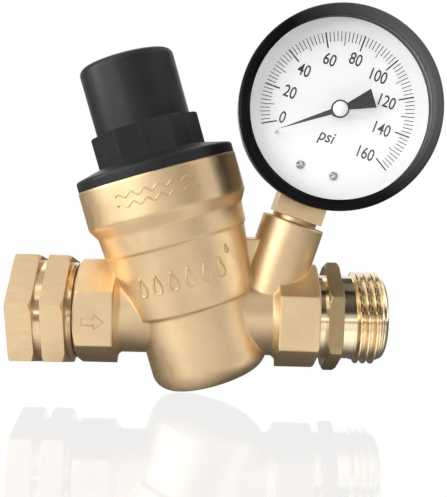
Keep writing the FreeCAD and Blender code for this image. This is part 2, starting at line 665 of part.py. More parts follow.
def make_tube_pieces(link_end):
    """The curved pressure tube, and the tip that the link hangs on."""
    half_thick = TUBE_SECTION[0] / 2
    half_deep = TUBE_SECTION[1] / 2
    low_radius = TUBE_RADIUS - half_thick
    high_radius = TUBE_RADIUS + half_thick
    sweep = TUBE_END - TUBE_START
    wall = 0.35
    outer = turned([
        (low_radius, -half_deep), (high_radius, -half_deep),
        (high_radius, half_deep), (low_radius, half_deep),
    ], sweep)
    inner = turned([
        (low_radius + wall, wall - half_deep), (high_radius - wall, wall - half_deep),
        (high_radius - wall, half_deep - wall), (low_radius + wall, half_deep - wall),
    ], sweep)
    tube = outer.cut(inner)
    tube.rotate(Vector(0, 0, 0), Z_AXIS, TUBE_START)
    save("bourdon_tube", on_dial(tube))

    gap = 0.4
    cap_start = TUBE_END + math.degrees(gap / TUBE_RADIUS)
    cap_span = 9
    cap_inside = low_radius - 0.5
    cap = turned([
        (cap_inside, -half_deep), (high_radius, -half_deep),
        (high_radius, half_deep), (cap_inside, half_deep),
    ], cap_span)
    cap.rotate(Vector(0, 0, 0), Z_AXIS, cap_start)
    root = polar(low_radius, cap_start + cap_span / 2)
    along = math.degrees(math.atan2(link_end.y - root.y, link_end.x - root.x))
    arm_back = 2.2
    arm_half_width = 0.9
    arm = tapered_bar(root, 1.2, link_end, arm_half_width, along, arm_back, half_deep)
    eye = cylinder(arm_half_width, arm_back, half_deep, link_end)
    pin = cylinder(LINK_PIN_RADIUS, half_deep, LINK_PIN_END, link_end)
    save("tube_tip", on_dial(fuse_all([cap, arm, eye, pin])))


def make_movement_frame():
    """Two plates held apart by four pillars, with holes for the shafts and the screws."""
    half_width = 10.6
    low = -20.0
    high = 8.0
    pillar_places = [
        Vector(9.2, -16.6, 0), Vector(-9.2, -16.6, 0), Vector(8.4, 6.0, 0), Vector(-8.4, 6.0, 0),
    ]
    screw_places = [Vector(3.2, -19.0, 0), Vector(-3.2, -19.0, 0)]
    pillar_radius = 1.1
    rivet_radius = 0.7
    screw_radius = 0.8
    head_radius = 1.3
    head_height = 0.7
    wrench_hole_radius = 1.8
    shape = [(-half_width, low), (half_width, low), (half_width, high), (-half_width, high)]
    whole_depth = (BACK_PLATE[0], FRONT_PLATE[1])
    through = [
        cylinder(SHAFT_RADIUS + RUNNING_GAP, *whole_depth),
        cylinder(ARBOR_RADIUS + RUNNING_GAP, *whole_depth, SECTOR_PIVOT),
    ]
    through += [cylinder(rivet_radius, *whole_depth, place) for place in pillar_places]
    back_holes = [cylinder(screw_radius, *BACK_PLATE, place) for place in screw_places]
    front_holes = [cylinder(wrench_hole_radius, *FRONT_PLATE, place) for place in screw_places]
    front_holes += [cylinder(DIAL_SCREW_RADIUS, *FRONT_PLATE, place) for place in DIAL_SCREW_PLACES]
    save("movement_back_plate", on_dial(cut_all(plate(shape, *BACK_PLATE), through + back_holes)))
    save("movement_front_plate", on_dial(cut_all(plate(shape, *FRONT_PLATE), through + front_holes)))
    pillars = []
    for place in pillar_places:
        post = cylinder(pillar_radius, BACK_PLATE[1], FRONT_PLATE[0], place)
        pillars.append(fuse_all([post, cylinder(rivet_radius, *whole_depth, place)]))
    save("movement_pillars", on_dial(Part.makeCompound(pillars)))
    screws = []
    for place in screw_places:
        head = cylinder(head_radius, BACK_PLATE[1], BACK_PLATE[1] + head_height, place)
        screws.append(fuse_all([head, cylinder(screw_radius, *BACK_PLATE, place)]))
    save("movement_screws", on_dial(Part.makeCompound(screws)))


def make_hairspring():
    """A flat spiral from the pinion shaft out to a pillar side."""
    turns = 4
    steps = 20
    inner_radius = 1.0
    growth = 0.85
    ribbon = 0.12
    layer = (8.0, 8.5)
    inside = []
    outside = []
    for step in range(turns * steps + 1):
        angle = 360 * step / steps
        radius = inner_radius + growth * step / steps
        inside.append(polar(radius, angle))
        outside.append(polar(radius + ribbon, angle))
    points = inside + outside[::-1]
    collet = ring(inner_radius + ribbon / 2, SHAFT_RADIUS, *layer)
    spiral = plate([(p.x, p.y) for p in points], *layer)
    save("hairspring", on_dial(spiral.fuse(collet).removeSplitter()))


os.makedirs("parts", exist_ok=True)
make_valve_body()
make_swivel_nut()
make_inlet_pieces()
make_outlet_pieces()
make_valve_pieces()
make_bonnet_pieces()
make_gauge_shell()
make_dial_pieces()
make_pointer_pieces()
make_tube_pieces(make_movement_gears())
make_movement_frame()
make_hairspring()
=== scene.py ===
import json
import math

import bpy
from mathutils import Matrix, Vector


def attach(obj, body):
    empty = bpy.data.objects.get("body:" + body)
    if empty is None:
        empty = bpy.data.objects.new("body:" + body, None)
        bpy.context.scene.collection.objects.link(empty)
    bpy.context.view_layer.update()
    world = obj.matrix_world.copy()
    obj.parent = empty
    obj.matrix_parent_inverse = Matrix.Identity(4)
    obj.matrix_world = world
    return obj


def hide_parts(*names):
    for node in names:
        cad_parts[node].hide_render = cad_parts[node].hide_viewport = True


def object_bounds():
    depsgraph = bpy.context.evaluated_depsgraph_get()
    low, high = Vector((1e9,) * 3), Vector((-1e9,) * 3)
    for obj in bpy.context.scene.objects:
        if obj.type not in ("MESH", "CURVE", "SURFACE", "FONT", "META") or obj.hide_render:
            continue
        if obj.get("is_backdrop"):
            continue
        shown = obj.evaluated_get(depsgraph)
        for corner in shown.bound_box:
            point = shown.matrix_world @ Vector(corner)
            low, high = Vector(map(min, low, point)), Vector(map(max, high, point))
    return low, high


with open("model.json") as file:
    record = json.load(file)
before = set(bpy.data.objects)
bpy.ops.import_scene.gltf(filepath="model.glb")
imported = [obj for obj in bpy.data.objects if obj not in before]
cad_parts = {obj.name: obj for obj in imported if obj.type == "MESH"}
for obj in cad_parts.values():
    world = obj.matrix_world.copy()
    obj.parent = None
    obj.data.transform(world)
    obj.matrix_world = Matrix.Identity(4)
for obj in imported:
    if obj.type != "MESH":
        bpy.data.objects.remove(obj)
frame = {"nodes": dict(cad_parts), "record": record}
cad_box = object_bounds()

MM = 0.001
NODES = frame["nodes"]

# Places of the three slanting axes, as in the CAD model.
BELL = Matrix.Translation((0.052, 0, 0)) @ Matrix.Rotation(math.radians(-17.0), 4, "Y")
BOSS = Matrix.Translation((0.071, 0, 0)) @ Matrix.Rotation(math.radians(17.3), 4, "Y")
DIAL = BOSS @ Matrix.Translation((0, 0, 0.0620)) @ Matrix.Rotation(math.radians(90), 4, "X")
PIPE = Matrix.Rotation(math.radians(90), 4, "Y")

# The printed face's height along the dial's axis, in mm, and the print's turn on it, in degrees.
DIAL_FACE = 11.1
DIAL_TURN = -1.5


# --- mesh helpers: everything is drawn in mm and placed by a matrix -----------
def add_piece(name, mesh, body):
    piece = bpy.data.objects.new(name, mesh)
    bpy.context.scene.collection.objects.link(piece)
    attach(piece, body)
    return piece


def mesh_of(curve, name, material):
    """The mesh that a curve or a text draws, with one material."""
    draft = bpy.data.objects.new(name + "_draft", curve)
    bpy.context.scene.collection.objects.link(draft)
    mesh = bpy.data.meshes.new_from_object(draft)
    bpy.data.objects.remove(draft)
    mesh.name = name
    mesh.materials.clear()
    mesh.materials.append(material)
    return mesh


def add_mesh(name, points, faces, matrix, material, body, smooth=True):
    mesh = bpy.data.meshes.new(name)
    mesh.from_pydata([matrix @ (Vector(p) * MM) for p in points], [], faces)
    mesh.materials.append(material)
    for polygon in mesh.polygons:
        polygon.use_smooth = smooth
    return add_piece(name, mesh, body)


def polar(radius, angle):
    return (radius * math.cos(math.radians(angle)), radius * math.sin(math.radians(angle)))


def lathe(name, stations, segments, radius_at, matrix, material, body):
    """A closed shape of revolution about Z whose radius may change round the turn.

    stations are heights along Z, and radius_at(index, height, angle) gives the radius there.
    """
    points = []
    for index, height in enumerate(stations):
        for step in range(segments):
            angle = 360 * step / segments
            x, y = polar(radius_at(index, height, angle), angle)
            points.append((x, y, height))
    faces = []
    rows = len(stations)
    for row in range(rows):
        low = row * segments
        high = ((row + 1) % rows) * segments
        for step in range(segments):
            following = (step + 1) % segments
            faces.append((low + step, low + following, high + following, high + step))
    return add_mesh(name, points, faces, matrix, material, body)


def stroke(name, lines, radius, material, body, closed=False):
    """Raised round strokes along lines of world points, as a cast mark has."""
    curve = bpy.data.curves.new(name, "CURVE")
    curve.dimensions = "3D"
    curve.bevel_depth = radius * MM
    curve.bevel_resolution = 2
    curve.use_fill_caps = True
    for line in lines:
        spline = curve.splines.new("POLY")
        spline.points.add(len(line) - 1)
        for point, place in zip(spline.points, line):
            point.co = (*place, 1)
        spline.use_cyclic_u = closed
    mesh = mesh_of(curve, name, material)
    for polygon in mesh.polygons:
        polygon.use_smooth = True
    return add_piece(name, mesh, body)


# --- materials ---------------------------------------------------------------
NOISE_ROUGHNESS = 0.6


class Nodes:
    """A short way to write a node material."""

    def __init__(self, name):
        self.material = bpy.data.materials.new(name)
        self.material.use_nodes = True
        self.tree = self.material.node_tree
        self.shader = self.tree.nodes["Principled BSDF"]
        self.place = self.tree.nodes.new("ShaderNodeTexCoord").outputs["Object"]

    def link(self, source, target):
        self.tree.links.new(source, target)

    def set(self, **values):
        for name, value in values.items():
            self.shader.inputs[name.replace("_", " ")].default_value = value

    def noise(self, scale, detail, stretch=None):
        node = self.tree.nodes.new("ShaderNodeTexNoise")
        node.inputs["Scale"].default_value = scale
        node.inputs["Detail"].default_value = detail
        node.inputs["Roughness"].default_value = NOISE_ROUGHNESS
        place = self.place
        if stretch:
            mapping = self.tree.nodes.new("ShaderNodeMapping")
            mapping.inputs["Scale"].default_value = stretch
            self.link(place, mapping.inputs["Vector"])
            place = mapping.outputs["Vector"]
        self.link(place, node.inputs["Vector"])
        return node.outputs["Fac"]

    def ramp(self, value, stops):
        node = self.tree.nodes.new("ShaderNodeValToRGB")
        elements = node.color_ramp.elements
        for index, (position, color) in enumerate(stops):
            element = elements[index] if index < 2 else elements.new(position)
            element.position = position
            element.color = (*color, 1)
        self.link(value, node.inputs["Fac"])
        return node.outputs["Color"]

    def grey_ramp(self, value, low, high):
        return self.ramp(value, [(0.3, (low,) * 3), (0.7, (high,) * 3)])

    def bump(self, value, strength, distance, normal=None):
        node = self.tree.nodes.new("ShaderNodeBump")
        node.inputs["Strength"].default_value = strength
        node.inputs["Distance"].default_value = distance
        self.link(value, node.inputs["Height"])
        if normal is not None:
            self.link(normal, node.inputs["Normal"])
        return node.outputs["Normal"]

    def soft_edges(self, radius):
        node = self.tree.nodes.new("ShaderNodeBevel")
        node.samples = 6
        node.inputs["Radius"].default_value = radius * MM
        return node.outputs["Normal"]

    def color(self, output):
        self.link(output, self.shader.inputs["Base Color"])

    def across(self, direction, span, low, high):
        """A change from low to high between two places along a direction, in metres."""
        along = self.tree.nodes.new("ShaderNodeVectorMath")
        along.operation = "DOT_PRODUCT"
        along.inputs[1].default_value = direction
        self.link(self.place, along.inputs[0])
        share = self.tree.nodes.new("ShaderNodeMapRange")
        share.inputs["From Min"].default_value, share.inputs["From Max"].default_value = span
        self.link(along.outputs["Value"], share.inputs["Value"])
        return self.ramp(share.outputs["Result"], [(0.0, low), (1.0, high)])

    def rough(self, output):
        self.link(output, self.shader.inputs["Roughness"])

    def normal(self, output):
        self.link(output, self.shader.inputs["Normal"])


def cast_brass():
    """Sand-blasted brass: warm, satin, fine grain, edges of the casting softened."""
    n = Nodes("cast_brass")
    n.set(Metallic=1.0)
    tone = n.noise(90, 4)
    n.color(n.ramp(tone, [(0.3, (0.80, 0.584, 0.336)), (0.7, (0.88, 0.664, 0.404))]))
    n.rough(n.grey_ramp(n.noise(400, 3), 0.40, 0.50))
    edges = n.soft_edges(0.9)
    n.normal(n.bump(n.noise(5200, 2), 0.10, 0.00006, edges))
    return n.material


def hex_brass():
    """The same brass with the faint upright grain of a planed face."""
    n = Nodes("hex_brass")
    n.set(Metallic=1.0)
    grain = n.noise(260, 3, stretch=(1, 9, 0.4))
    n.color(n.ramp(grain, [(0.3, (0.785, 0.572, 0.328)), (0.7, (0.855, 0.642, 0.386))]))
    n.rough(n.grey_ramp(grain, 0.38, 0.48))
    edges = n.soft_edges(0.3)
    n.normal(n.bump(n.noise(4200, 2), 0.10, 0.00006, edges))
    return n.material


NUT_LENGTH = 17.4


def nut_brass():
    """Planed hexagon faces, with the groove and the nose of the nut turned bright."""
    n = Nodes("nut_brass")
    n.set(Metallic=0.8)
    grain = n.noise(260, 3, stretch=(1, 9, 0.4))
    n.color(n.ramp(grain, [(0.3, (0.785, 0.572, 0.328)), (0.7, (0.855, 0.642, 0.386))]))
    along = n.tree.nodes.new("ShaderNodeSeparateXYZ")
    n.link(n.place, along.inputs["Vector"])
    shares = n.tree.nodes.new("ShaderNodeMapRange")
    shares.inputs["From Max"].default_value = NUT_LENGTH * MM
    n.link(along.outputs["X"], shares.inputs["Value"])
    satin, bright = (0.42,) * 3, (0.16,) * 3
    # Shares of the nut's length: bright in the groove and on the nose.
    stops = [
        (0.0, satin), (0.405, satin), (0.41, bright), (0.54, bright),
        (0.545, satin), (0.905, satin), (0.91, bright),
    ]
    n.rough(n.ramp(shares.outputs["Result"], stops))
    n.normal(n.bump(n.noise(4200, 2), 0.08, 0.00006, n.soft_edges(0.25)))
    return n.material


def flange_brass():
    """The hexagon of the outlet adapter, in brass of a much darker base colour."""
    n = Nodes("flange_brass")
    n.set(Metallic=1.0)
    tone = n.noise(220, 4)
    n.color(n.ramp(tone, [(0.3, (0.38, 0.275, 0.145)), (0.7, (0.45, 0.33, 0.18))]))
    n.rough(n.grey_ramp(n.noise(500, 3), 0.44, 0.54))
    n.normal(n.bump(n.noise(4200, 2), 0.08, 0.00006, n.soft_edges(0.25)))
    return n.material


def machined_brass():
    """Bright turned brass with very fine turning marks."""
    n = Nodes("machined_brass")
    n.set(Metallic=1.0)
    tone = n.noise(160, 3)
    n.color(n.ramp(tone, [(0.3, (0.86, 0.70, 0.46)), (0.7, (0.94, 0.79, 0.55))]))
    n.rough(n.grey_ramp(n.noise(700, 2, stretch=(12, 1, 1)), 0.12, 0.22))
    return n.material


def bonnet_plastic():
    """Black moulded plastic, satin, with softened edges."""
    n = Nodes("bonnet_plastic")
    n.set(Specular_IOR_Level=0.25)
    tone = n.noise(120, 3)
    n.color(n.ramp(tone, [(0.3, (0.018, 0.018, 0.0185)), (0.7, (0.026, 0.026, 0.027))]))
    n.rough(n.grey_ramp(n.noise(500, 3), 0.36, 0.46))
    edges = n.soft_edges(0.5)
    n.normal(n.bump(n.noise(6000, 2), 0.12, 0.00005, edges))
    return n.material


# Painted sheen: the bezel's black turns to dark grey along this direction, between these two distances in
# metres, a reflection painted into the base colour.
PAINTED_SHEEN_DIRECTION = (1.0, 0.0, 0.6)
PAINTED_SHEEN_SPAN = (0.124, 0.153)


def bezel_paint():
    """Smooth black paint with a broad painted sheen: its base colour turns grey to one side."""
    n = Nodes("bezel_paint")
    tone = n.noise(150, 2)
    # Painted sheen: both colours run from black to grey across the bezel, standing in for a reflection.
    dark = n.across(PAINTED_SHEEN_DIRECTION, PAINTED_SHEEN_SPAN, (0.002, 0.002, 0.0022), (0.095, 0.095, 0.096))
    light = n.across(PAINTED_SHEEN_DIRECTION, PAINTED_SHEEN_SPAN, (0.005, 0.005, 0.0053), (0.112, 0.112, 0.113))
    mottle = n.tree.nodes.new("ShaderNodeMix")
    mottle.data_type = "RGBA"
    n.link(tone, mottle.inputs["Factor"])
    n.link(dark, mottle.inputs["A"])
    n.link(light, mottle.inputs["B"])
    n.color(mottle.outputs["Result"])
    n.set(Specular_IOR_Level=0.09)
    n.rough(n.grey_ramp(n.noise(900, 2), 0.26, 0.34))
    n.normal(n.bump(n.noise(4000, 2), 0.06, 0.00005, n.soft_edges(0.3)))
    return n.material


def steel(name, low, high, rough):
    """Drawn steel, streaked along the wire."""
    n = Nodes(name)
    n.set(Metallic=1.0)
    tone = n.noise(300, 3, stretch=(1, 6, 1))
    n.color(n.ramp(tone, [(0.3, low), (0.7, high)]))
    n.rough(n.grey_ramp(tone, rough - 0.05, rough + 0.07))
    return n.material


def screw_steel():
    """Rough-struck heads of the dial screws; the colour is painted dark in the hollows and bright on the
    tops, a painted shade and painted glints.
    """
    n = Nodes("screw_steel")
    n.set(Metallic=1.0)
    dents_and_painted_glints = n.noise(900, 1)
    # Painted shade and glints: the base colour follows the dents, dark in the hollows and near white on
    # the tops.
    n.color(n.ramp(dents_and_painted_glints, [(0.42, (0.34, 0.34, 0.35)), (0.58, (0.95, 0.95, 0.95))]))
    n.rough(n.grey_ramp(dents_and_painted_glints, 0.10, 0.16))
    n.normal(n.bump(dents_and_painted_glints, 0.9, 0.0006))
    return n.material


def case_paint():
    """Silver paint on the pressed case."""
    n = Nodes("case_paint")
    n.set(Metallic=0.6)
    tone = n.noise(200, 3)
    n.color(n.ramp(tone, [(0.3, (0.55, 0.56, 0.57)), (0.7, (0.66, 0.67, 0.68))]))
    n.rough(n.grey_ramp(n.noise(2500, 2), 0.32, 0.42))
    n.normal(n.bump(n.noise(5000, 2), 0.08, 0.00005))
    return n.material


def dial_paint():
    """White enamel, slightly lit of itself."""
    n = Nodes("dial_paint")
    n.set(Emission_Color=(1, 1, 1, 1), Emission_Strength=0.21)
    tone = n.noise(150, 3)
    n.color(n.ramp(tone, [(0.3, (0.955, 0.955, 0.955)), (0.7, (0.985, 0.985, 0.985))]))
    n.rough(n.grey_ramp(n.noise(600, 2), 0.42, 0.5))
    return n.material


def ink():
    n = Nodes("dial_ink")
    n.color(n.ramp(n.noise(900, 2), [(0.3, (0.006, 0.006, 0.007)), (0.7, (0.012, 0.012, 0.013))]))
    n.rough(n.grey_ramp(n.noise(600, 2), 0.45, 0.55))
    return n.material


def rubber():
    n = Nodes("rubber_black")
    n.color(n.ramp(n.noise(500, 3), [(0.3, (0.020, 0.020, 0.020)), (0.7, (0.034, 0.034, 0.034))]))
    n.rough(n.grey_ramp(n.noise(900, 2), 0.6, 0.75))
    n.normal(n.bump(n.noise(3000, 2), 0.2, 0.00005))
    return n.material


def white_plastic():
    n = Nodes("piston_plastic")
    n.color(n.ramp(n.noise(300, 3), [(0.3, (0.78, 0.76, 0.70)), (0.7, (0.84, 0.82, 0.77))]))
    n.rough(n.grey_ramp(n.noise(900, 2), 0.42, 0.52))
    return n.material


def lens_clear():
    """Thin clear glass: a faint sheen over the dial."""
    n = Nodes("lens_clear")
    n.set(Metallic=1.0, Alpha=0.03)
    n.color(n.ramp(n.noise(60, 2), [(0.3, (0.90, 0.92, 0.93)), (0.7, (0.95, 0.96, 0.97))]))
    n.rough(n.grey_ramp(n.noise(80, 2), 0.03, 0.06))
    return n.material


CAST = cast_brass()
HEX = hex_brass()
NUT = nut_brass()
FLANGE_BRASS = flange_brass()
TURNED = machined_brass()
BONNET = bonnet_plastic()
BEZEL = bezel_paint()
STEEL = steel("spring_steel", (0.46, 0.46, 0.47), (0.60, 0.60, 0.61), 0.30)
SCREEN = steel("screen_steel", (0.62, 0.63, 0.64), (0.74, 0.75, 0.76), 0.28)
CASE = case_paint()
DIAL_WHITE = dial_paint()
INK = ink()
RUBBER = rubber()
PISTON = white_plastic()
LENS = lens_clear()

BY_SLOT = {
    "cast_brass": CAST,
    "machined_brass": TURNED,
    "rubber_black": RUBBER,
    "screen_steel": SCREEN,
    "spring_steel": STEEL,
    "piston_plastic": PISTON,
    "bonnet_plastic": BONNET,
    "bezel_black": BEZEL,
    "case_steel": CASE,
    "lens_clear": LENS,
    "dial_white": DIAL_WHITE,
    "pointer_black": INK,
}
for row in frame["record"]["subparts"]:
    slots = NODES[row["node"]].data.materials
    slots.clear()
    slots.append(BY_SLOT[row["material_slot"]])
NODES["swivel_nut"].data.materials[0] = NUT
NODES["gauge_socket"].data.materials[0] = HEX
NODES["dial_screws"].data.materials[0] = screw_steel()


# --- outlet adapter with its true helical thread ------------------------------
THREAD_PITCH = 2.209
THREAD_CREST = 13.48
THREAD_ROOT = 12.1
# Foot of the thread's flank and width of the flank, as shares of half a pitch from the crest.
FLANK_FOOT = 0.86
FLANK_WIDTH = 0.656
HEX_FLATS = 27.9
HEX_BEVELS = (1.4, 0.9)
FLANGE = (89.0, 93.3)
THREAD = (95.9, 105.0)
FIRST_CREST = 97.76
# The thread rises and falls over a third of a turn at these places.
FADE = (96.9, 105.0)
FADE_RATE = 3
ADAPTER_START = 78.0
ADAPTER_END = 106.4
BODY_END = 86.9
SOCKET_RADIUS = 9.5
LEAD_IN = 1.4
MOUTH_RADIUS = 9.8
BORE_RADIUS = 8.0
FLANGE_ROWS = 14
THREAD_ROWS = 132
ROUND_ROWS = 8
ADAPTER_SEGMENTS = 288


def hex_radius(flats, angle):
    """Distance from the axis to a hexagon's side, at an angle from a corner."""
    return flats / 2 / math.cos(math.radians(angle % 60 - 30))


def flange_radius(height, angle):
    """Hexagon cut by a 30 degree chamfer at each end."""
    corner = HEX_FLATS / math.sqrt(3)
    slope = math.tan(math.radians(30))
    low = corner - HEX_BEVELS[0] + (height - FLANGE[0]) / slope
    high = corner - HEX_BEVELS[1] + (FLANGE[1] - height) / slope
    return min(hex_radius(HEX_FLATS, angle), low, high)


def thread_radius(height, angle):
    """A right-handed 60 degree thread that fades in and out at its ends."""
    phase = (height - FIRST_CREST) / THREAD_PITCH - (angle - 180) / 360
    away = abs((phase + 0.5) % 1 - 0.5) * 2
    ridge = min(1.0, max(0.0, (FLANK_FOOT - away) / FLANK_WIDTH))
    run_in = (height - FADE[0]) / THREAD_PITCH
    run_out = (FADE[1] - height) / THREAD_PITCH
    fade = max(0.0, min(1.0, run_in * FADE_RATE, run_out * FADE_RATE))
    return THREAD_ROOT + (THREAD_CREST - THREAD_ROOT) * ridge * fade


def make_adapter():
    # Heights along the adapter, and beside each what kind of surface it has or its radius.
    heights = [ADAPTER_START, BODY_END - 0.02, BODY_END, FLANGE[0]]
    kinds = ["socket", "socket", "root", "root"]
    for row in range(FLANGE_ROWS + 1):
        heights.append(FLANGE[0] + (FLANGE[1] - FLANGE[0]) * row / FLANGE_ROWS)
        kinds.append("flange")
    heights.append(FLANGE[1])
    kinds.append("root")
    for row in range(THREAD_ROWS + 1):
        heights.append(THREAD[0] + (THREAD[1] - THREAD[0]) * row / THREAD_ROWS)
        kinds.append("thread")
    for row in range(ROUND_ROWS + 1):
        turn = math.radians(90 * row / ROUND_ROWS)
        heights.append(ADAPTER_END - LEAD_IN + LEAD_IN * math.sin(turn))
        kinds.append(THREAD_ROOT - LEAD_IN + LEAD_IN * math.cos(turn))
    heights += [ADAPTER_END, ADAPTER_END - LEAD_IN, ADAPTER_START]
    kinds += [MOUTH_RADIUS, BORE_RADIUS, BORE_RADIUS]

    def radius_at(index, height, angle):
        kind = kinds[index]
        if kind == "socket":
            return SOCKET_RADIUS
        if kind == "root":
            return THREAD_ROOT
        if kind == "flange":
            return flange_radius(height, angle)
        if kind == "thread":
            return thread_radius(height, angle)
        return kind

    piece = lathe("outlet_adapter_threaded", heights, ADAPTER_SEGMENTS, radius_at, PIPE, TURNED, "body")
    piece.data.materials.append(FLANGE_BRASS)
    first_flange = kinds.index("flange") * ADAPTER_SEGMENTS
    last_flange = first_flange + FLANGE_ROWS * ADAPTER_SEGMENTS
    for polygon in piece.data.polygons:
        if first_flange <= min(polygon.vertices) < last_flange:
            polygon.material_index = 1
    piece.data.set_sharp_from_angle(angle=math.radians(28))
    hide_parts("outlet_adapter")


make_adapter()


# --- dial face ----------------------------------------------------------------
ZERO_ANGLE = 210.0
DEGREES_PER_PSI = 1.5
FULL_SCALE = 160
TICK_END = 21.2
PRINT_LIFT = 0.03
PRINT_SIZE = 4.6
DIAL_PRINT = DIAL @ Matrix.Rotation(math.radians(DIAL_TURN), 4, "Z")


def make_ticks():
    points = []
    faces = []
    for psi in range(0, FULL_SCALE + 1, 2):
        angle = ZERO_ANGLE - psi * DEGREES_PER_PSI
        if psi % 20 == 0:
            inner, width = 16.9, 0.40
        elif psi % 10 == 0:
            inner, width = 17.4, 0.22
        else:
            inner, width = 18.5, 0.22
        side = polar(width / 2, angle + 90)
        base = len(points)
        for radius, sign in ((inner, -1), (TICK_END, -1), (TICK_END, 1), (inner, 1)):
            x, y = polar(radius, angle)
            points.append((x + sign * side[0], y + sign * side[1], DIAL_FACE + PRINT_LIFT))
        faces.append((base, base + 1, base + 2, base + 3))
    add_mesh("dial_ticks", points, faces, DIAL_PRINT, INK, "body", smooth=False)


def print_word(name, word, x, y, narrow, slant=0.0):
    """Dial print: a word whose middle is at x, y on the dial."""
    curve = bpy.data.curves.new(name, "FONT")
    curve.body = word
    curve.size = PRINT_SIZE * MM
    curve.shear = slant
    curve.align_x = "CENTER"
    curve.align_y = "CENTER"
    curve.offset = 0.00005
    mesh = mesh_of(curve, name, INK)
    middle = []
    for axis in range(2):
        reach = [vertex.co[axis] for vertex in mesh.vertices]
        middle.append((min(reach) + max(reach)) / 2)
    centred = Matrix.Diagonal((narrow, 1, 1, 1)) @ Matrix.Translation((-middle[0], -middle[1], 0))
    place = Matrix.Translation((x * MM, y * MM, (DIAL_FACE + PRINT_LIFT) * MM))
    mesh.transform(DIAL_PRINT @ place @ centred)
    add_piece(name, mesh, "body")


def make_dial_print():
    make_ticks()
    # The middle of each numeral, in mm from the dial's centre.
    places = {
        0: (-13.5, -7.0), 20: (-14.0, 0.1), 40: (-12.5, 6.9), 60: (-6.9, 12.0), 80: (-0.3, 14.5),
        100: (7.2, 12.5), 120: (11.9, 6.9), 140: (13.3, -0.5), 160: (11.5, -8.2),
    }
    for psi, (x, y) in places.items():
        print_word(f"numeral_{psi}", str(psi), x, y, 0.78)
    print_word("unit_mark", "psi", -0.2, -8.2, 0.88, 0.15)


def make_hub_disc():
    """The white cap on the pointer's hub, as (radius, height) rings."""
    rings = [(0.0, 15.56), (0.22, 15.56), (0.3, 15.49), (2.0, 15.49), (2.0, 15.40)]
    points = []
    faces = []
    steps = 48
    for radius, height in rings:
        for step in range(steps):
            x, y = polar(radius, 360 * step / steps)
            points.append((x, y, height))
    for row in range(len(rings) - 1):
        for step in range(steps):
            following = (step + 1) % steps
            low, high = row * steps, (row + 1) * steps
            faces.append((high + step, high + following, low + following, low + step))
    add_mesh("hub_disc", points, faces, DIAL, DIAL_WHITE, "indicator")


make_dial_print()
make_hub_disc()


# --- raised marks: cast in, generic --------------------------------------------
# Parts of the bell: radius below, radius above, low end, high end.
BAND = (23.42, 23.33, 33.0, 42.0)
CONE = (18.6, 20.6, 3.6, 22.3)
MARK_LIFT = 0.02


def on_cone(radius_low, radius_high, low, high):
    """Maps (distance round the bell, height) to a point on the cone's front."""
    def place(along, height):
        share = (height - low) / (high - low)
        radius = radius_low + (radius_high - radius_low) * share + MARK_LIFT
        turn = -math.pi / 2 + along / radius
        return BELL @ (Vector((radius * math.cos(turn), radius * math.sin(turn), height)) * MM)
    return place


def wave(place, start, end, height, swing, waves):
    """A row of waves between two places round the bell."""
    steps = 14 * waves
    line = []
    for step in range(steps + 1):
        share = step / steps
        rise = swing * math.sin(2 * math.pi * waves * share)
        line.append(place(start + (end - start) * share, height + rise))
    return line


def drop(place, along, height, size):
    """A water drop outline: round below, pointed above."""
    line = []
    steps = 28
    for step in range(steps):
        turn = 2 * math.pi * step / steps
        pinch = math.sin(turn / 2) ** 1.6
        line.append(place(along + size * 0.62 * math.sin(turn) * pinch, height + size * math.cos(turn)))
    return line


def make_bell_marks():
    band = on_cone(*BAND)
    waves = [wave(band, -11.4, 11.6, level, 0.6, 6) for level in (36.1, 38.7)]
    stroke("band_waves", waves, 0.26, CAST, "body")
    cone = on_cone(*CONE)
    drops = [drop(cone, -11.8 + 4.7 * index, 13.3, 2.7) for index in range(6)]
    stroke("cone_drops", drops, 0.30, CAST, "body", closed=True)
    last = [drop(cone, 15.0, 17.6, 1.2)]
    stroke("cone_drop_small", last, 0.18, CAST, "body", closed=True)


def make_flow_arrow():
    """The arrow on the front flat of the inlet hex."""
    front = -13.31
    middle = 23.4
    height = -0.9
    shape = [
        (-3.0, 0.95), (0.35, 0.95), (0.35, 2.1), (3.0, 0.0),
        (0.35, -2.1), (0.35, -0.95), (-3.0, -0.95),
    ]
    line = [Vector((middle + x, front, height + z)) * MM for x, z in shape]
    stroke("flow_arrow", [line], 0.20, CAST, "body", closed=True)


make_bell_marks()
make_flow_arrow()


# --- woven inlet screen ---------------------------------------------------------
def make_screen():
    """Wires that pass over and under each other, in a flat rim."""
    spacing = 1.0
    reach = 8
    wire = 0.15
    depth = 12.95
    rim_inner = 8.6
    rim_outer = 10.9
    rim_half = 0.23
    lines = []
    for index in range(-reach, reach + 1):
        offset = index * spacing
        half = math.sqrt(max(0.0, rim_inner ** 2 - offset ** 2))
        steps = max(4, int(half * 8))
        for swap in (False, True):
            line = []
            for step in range(steps + 1):
                along = -half + 2 * half * step / steps
                sign = 1 if (index % 2 == 0) != swap else -1
                sway = sign * wire * math.cos(math.pi * along / spacing)
                side = (along, offset) if swap else (offset, along)
                line.append(Vector((depth + sway, side[0], side[1])) * MM)
            lines.append(line)
    weave = stroke("inlet_screen_weave", lines, wire * 0.8, SCREEN, "body")
    stations = [depth - rim_half, depth - rim_half, depth + rim_half, depth + rim_half]
    radii = [rim_inner, rim_outer, rim_outer, rim_inner]
    hoop = lathe("inlet_screen_rim", stations, 72, lambda i, h, a: radii[i], PIPE, SCREEN, "body")
    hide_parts("inlet_screen")


make_screen()

# --- stage, light and camera ------------------------------------------------------
MIDDLE = Vector((0.05, 0, 0.03))
FLOOR_Z = -0.0239
FLOOR_SIZE = 3.0
# Light that the floor sends back near the object and far from it.
FLOOR_NEAR = 0.06
FLOOR_FAR = 0.029
# Bright cards lying on the floor: middle, inner and outer radius, level.
FLOOR_PATCHES = [
    ((0.11, -0.14), (0.05, 0.14), 0.95),
    ((-0.005, -0.052), (0.022, 0.048), 0.9),
    ((0.106, -0.032), (0.010, 0.030), 0.95),
    ((0.046, -0.030), (0.006, 0.026), 0.50),
]
